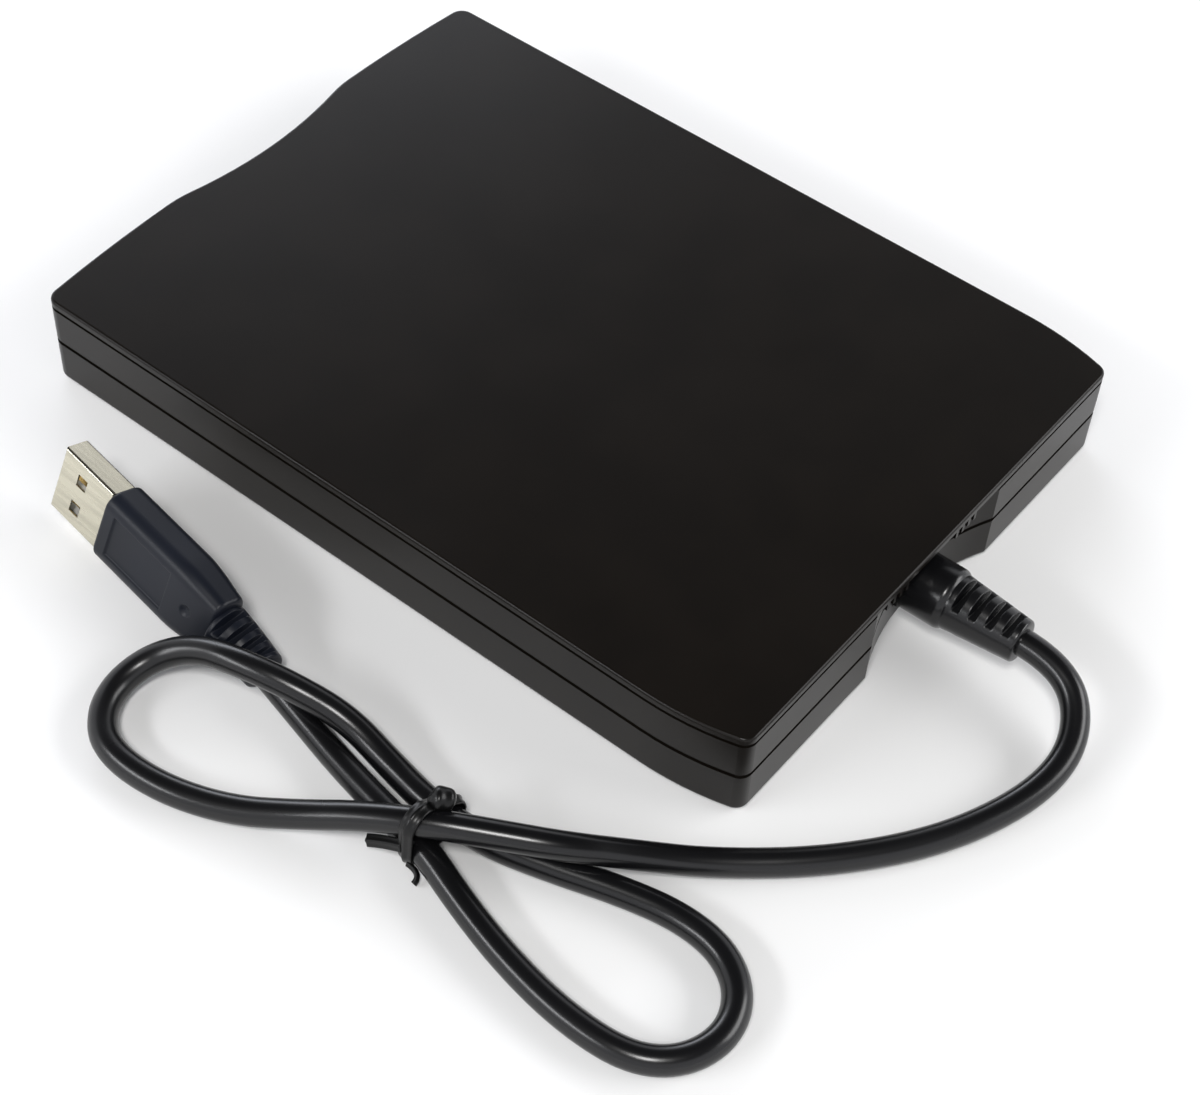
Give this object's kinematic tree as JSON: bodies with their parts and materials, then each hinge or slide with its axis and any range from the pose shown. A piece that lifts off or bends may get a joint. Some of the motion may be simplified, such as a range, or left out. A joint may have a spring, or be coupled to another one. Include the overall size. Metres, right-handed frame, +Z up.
{
  "type": "external floppy disk drive",
  "caption": "Slim external disk drive with a two-part case, front disk slot with flap and eject button, inner mechanism, and a short looped cord with a plug.",
  "frame": {"origin": "middle of the case footprint on the table", "axes": "+Z up, +Y towards the rear wall where the cord leaves, -Y towards the disk slot, +X to the right seen from the cord side turned to the front"},
  "size_m": [0.1563, 0.1776, 0.018],
  "materials": {
    "case_plastic": "satin black moulded plastic",
    "bezel_plastic": "satin black moulded plastic",
    "foot_rubber": "black rubber",
    "zinc_steel": "zinc plated sheet steel",
    "bright_steel": "polished steel",
    "spring_steel": "spring wire",
    "clear_plastic": "clear moulded plastic",
    "board": "green circuit board",
    "copper": "enamelled copper wire",
    "brass": "sintered bronze",
    "carriage_plastic": "glass-filled moulding",
    "ceramic": "polished ceramic",
    "chip_plastic": "moulded package",
    "ribbon": "laminated ribbon",
    "cord_jacket": "soft glossy black jacket",
    "core_wire": "wire insulation",
    "tie_plastic": "black coated wire tie",
    "plug_plastic": "satin black moulding",
    "plug_metal": "nickel plated shell",
    "tongue_plastic": "white insulator",
    "gold": "gold plated contacts"
  },
  "bodies": {
    "root": {"bottom_case": "case_plastic", "cable_cores": "core_wire", "case_screws": "zinc_steel", "cord": "cord_jacket", "drive_board": "board", "drive_board_parts": "chip_plastic", "drive_chassis": "zinc_steel", "drive_lid": "zinc_steel", "drive_screws": "zinc_steel", "front_bezel": "bezel_plastic", "guide_rod_left": "bright_steel", "guide_rod_right": "bright_steel", "lamp_light_pipe": "clear_plastic", "lever_spring": "spring_steel", "lid_screws": "zinc_steel", "motor_board": "board", "plug_contacts": "gold", "plug_mould": "plug_plastic", "plug_relief": "plug_plastic", "plug_shell": "plug_metal", "plug_tongue": "tongue_plastic", "ribbon_cable": "ribbon", "rubber_feet": "foot_rubber", "sense_switches": "chip_plastic", "slider_spring_left": "spring_steel", "slider_spring_right": "spring_steel", "spindle_bearing": "brass", "stator_coils": "copper", "stepper_motor": "zinc_steel", "strain_relief": "cord_jacket", "top_cover": "case_plastic", "twist_tie": "tie_plastic", "usb_board": "board", "usb_board_parts": "chip_plastic"},
    "flap": {"slot_flap": "bezel_plastic"},
    "slider": {"eject_slider": "zinc_steel", "eject_button": "bezel_plastic"},
    "cage": {"disk_cage": "zinc_steel", "cage_pins": "zinc_steel", "lever_post": "zinc_steel"},
    "lever": {"shutter_lever": "zinc_steel"},
    "spindle": {"rotor": "zinc_steel", "spindle_hub": "bright_steel", "drive_pin": "bright_steel"},
    "screw": {"lead_screw": "bright_steel"},
    "carriage": {"head_carriage": "carriage_plastic", "lower_head": "ceramic", "arm_pin": "bright_steel"},
    "arm": {"head_arm": "carriage_plastic", "upper_head": "ceramic"}
  },
  "joints": [
    {"name": "flap_swing", "type": "hinge", "parent": "root", "child": "flap", "pos_m": [0, -0.065, 0.0133], "axis": [1, 0, 0], "range_deg": [0, 88], "stiffness_Nm_per_rad": 0.0002, "springref_deg": -11.46},
    {"name": "eject_slide", "type": "slide", "parent": "root", "child": "slider", "axis": [0, -1, 0], "range_m": [-0.0004, 0.0045], "deforming": ["slider_spring_left", "slider_spring_right"]},
    {"name": "cage_drop", "type": "slide", "parent": "root", "child": "cage", "axis": [0, 0, -1], "range_m": [-0.00018, 0.002]},
    {"name": "lever_turn", "type": "hinge", "parent": "cage", "child": "lever", "pos_m": [-0.034, 0.016, 0.0129], "axis": [0, 0, 1], "range_deg": [0, 50], "stiffness_Nm_per_rad": 0.002, "springref_deg": -17.19, "deforming": ["lever_spring"]},
    {"name": "spindle_spin", "type": "hinge", "parent": "root", "child": "spindle", "pos_m": [0, -0.0195, 0.0032], "axis": [0, 0, 1], "continuous": true},
    {"name": "head_slide", "type": "slide", "parent": "root", "child": "carriage", "axis": [0, -1, 0], "range_m": [0, 0.0148]},
    {"name": "screw_turn", "type": "hinge", "parent": "root", "child": "screw", "pos_m": [0.022, 0.04, 0.0068], "axis": [0, 1, 0], "range_deg": [0, 1777]},
    {"name": "arm_lift", "type": "hinge", "parent": "carriage", "child": "arm", "pos_m": [0, 0.047, 0.0132], "axis": [1, 0, 0], "range_deg": [-0.8, 8.81]}
  ],
  "couplings": [
    {"joint": "cage_drop", "follows": "eject_slide", "ratio": 0.44444},
    {"joint": "arm_lift", "follows": "eject_slide", "rad_per_m": 34.131},
    {"joint": "screw_turn", "follows": "head_slide", "rad_per_m": 2094.4}
  ]
}
